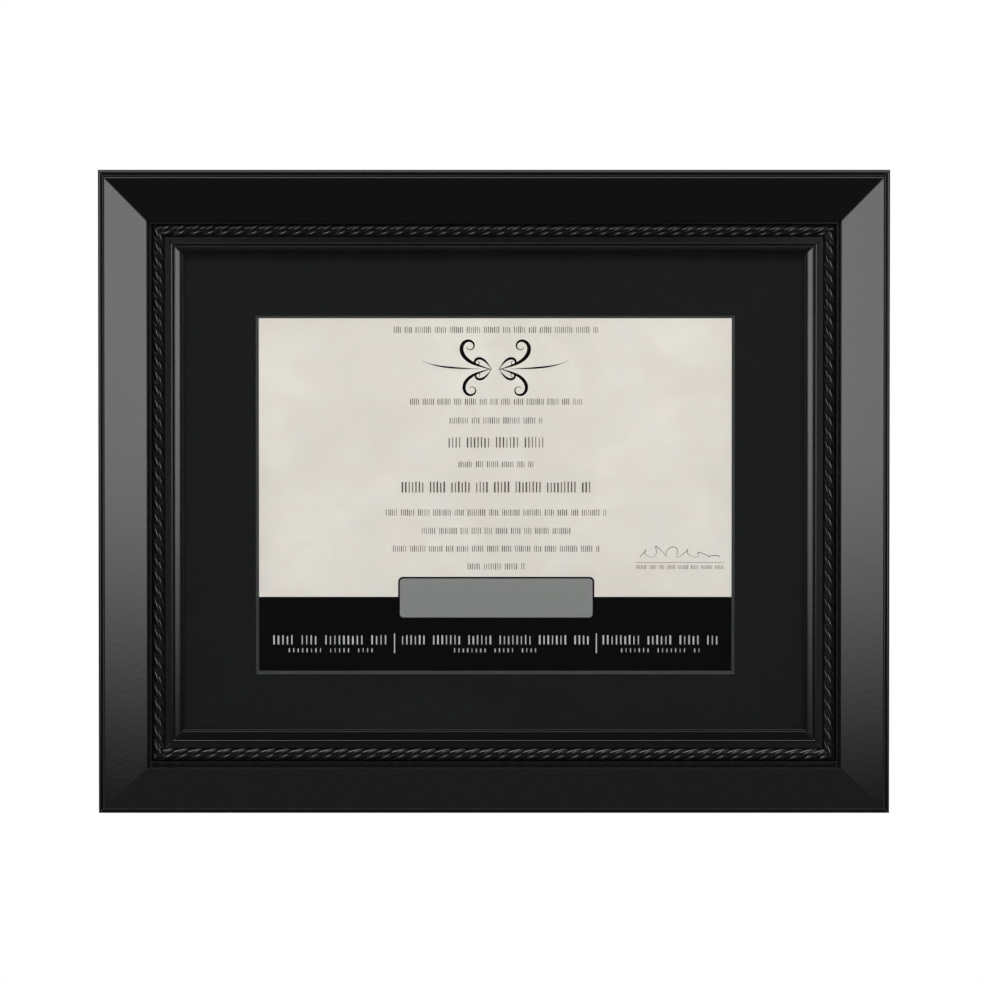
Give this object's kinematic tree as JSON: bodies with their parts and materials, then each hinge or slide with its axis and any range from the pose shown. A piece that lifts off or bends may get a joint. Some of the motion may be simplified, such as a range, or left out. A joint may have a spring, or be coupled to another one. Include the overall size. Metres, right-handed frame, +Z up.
{
  "type": "certificate frame",
  "caption": "Wall-hung black wooden certificate frame with a twisted rope bead, bevelled mat and glass, opened from behind by turn buttons.",
  "frame": {"origin": "middle notch of the top rail's sawtooth hanger, in the plane of the rail backs, where the wall nail bears", "axes": "+X to the right along the long side, +Z up, +Y back towards the wall, so the picture faces -Y"},
  "size_m": [0.4396, 0.0194, 0.3634],
  "materials": {
    "black_lacquer": "satin black lacquer",
    "clear_glass": "clear float glass",
    "black_mat": "matte black paper face on a dark grey core",
    "parchment": "mottled cream parchment paper",
    "hardboard": "smooth brown hardboard",
    "zinc_plate": "bright zinc plated stamping",
    "zinc_screw": "zinc plated screw",
    "plain_steel": "bright drawn steel"
  },
  "bodies": {
    "frame": {"top_rail": "black_lacquer", "bottom_rail": "black_lacquer", "left_rail": "black_lacquer", "right_rail": "black_lacquer", "rope_bead_top": "black_lacquer", "rope_bead_bottom": "black_lacquer", "rope_bead_left": "black_lacquer", "rope_bead_right": "black_lacquer", "v_nails": "plain_steel", "glass_pane": "clear_glass", "mat_board": "black_mat", "certificate": "parchment", "backing_board": "hardboard", "turn_button_screws": "zinc_screw", "sawtooth_hanger_top": "zinc_plate", "sawtooth_hanger_left": "zinc_plate", "hanger_nails": "plain_steel"},
    "turn_button_top_left": {"turn_button_top_left": "zinc_plate"},
    "turn_button_top_right": {"turn_button_top_right": "zinc_plate"},
    "turn_button_right_upper": {"turn_button_right_upper": "zinc_plate"},
    "turn_button_right_lower": {"turn_button_right_lower": "zinc_plate"},
    "turn_button_bottom_right": {"turn_button_bottom_right": "zinc_plate"},
    "turn_button_bottom_left": {"turn_button_bottom_left": "zinc_plate"},
    "turn_button_left_lower": {"turn_button_left_lower": "zinc_plate"},
    "turn_button_left_upper": {"turn_button_left_upper": "zinc_plate"}
  },
  "joints": [
    {"name": "turn_top_left", "type": "hinge", "parent": "frame", "child": "turn_button_top_left", "pos_m": [-0.105, 0.0006, -0.011], "axis": [0, 1, 0], "continuous": true},
    {"name": "turn_top_right", "type": "hinge", "parent": "frame", "child": "turn_button_top_right", "pos_m": [0.105, 0.0006, -0.011], "axis": [0, 1, 0], "continuous": true},
    {"name": "turn_right_upper", "type": "hinge", "parent": "frame", "child": "turn_button_right_upper", "pos_m": [0.1868, 0.0006, -0.0947], "axis": [0, 1, 0], "continuous": true},
    {"name": "turn_right_lower", "type": "hinge", "parent": "frame", "child": "turn_button_right_lower", "pos_m": [0.1868, 0.0006, -0.2247], "axis": [0, 1, 0], "continuous": true},
    {"name": "turn_bottom_right", "type": "hinge", "parent": "frame", "child": "turn_button_bottom_right", "pos_m": [0.105, 0.0006, -0.3084], "axis": [0, 1, 0], "continuous": true},
    {"name": "turn_bottom_left", "type": "hinge", "parent": "frame", "child": "turn_button_bottom_left", "pos_m": [-0.105, 0.0006, -0.3084], "axis": [0, 1, 0], "continuous": true},
    {"name": "turn_left_lower", "type": "hinge", "parent": "frame", "child": "turn_button_left_lower", "pos_m": [-0.1868, 0.0006, -0.2247], "axis": [0, 1, 0], "continuous": true},
    {"name": "turn_left_upper", "type": "hinge", "parent": "frame", "child": "turn_button_left_upper", "pos_m": [-0.1868, 0.0006, -0.0947], "axis": [0, 1, 0], "continuous": true}
  ]
}
